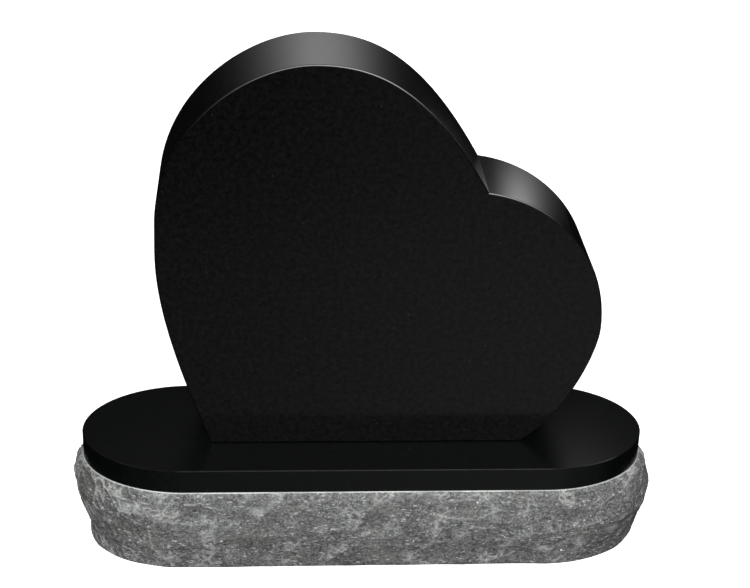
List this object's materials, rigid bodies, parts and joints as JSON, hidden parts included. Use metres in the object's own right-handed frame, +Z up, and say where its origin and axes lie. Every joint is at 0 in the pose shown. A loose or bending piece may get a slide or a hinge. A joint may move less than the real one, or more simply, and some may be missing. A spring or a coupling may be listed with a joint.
{
  "type": "headstone",
  "caption": "Leaning heart tablet of polished black granite standing on an oval-ended base block with a polished top and margin and rock-pitched sides.",
  "frame": {"origin": "on the ground under the middle of the base", "axes": "+X along the base to the right of someone facing the heart, +Y towards the back, +Z up"},
  "size_m": [1.2707, 0.3853, 1.1053],
  "materials": {
    "polished_black_granite": "polished",
    "rock_pitched_granite": "matte"
  },
  "bodies": {
    "root": {"heart_tablet": "polished_black_granite", "base": "rock_pitched_granite"}
  },
  "joints": []
}
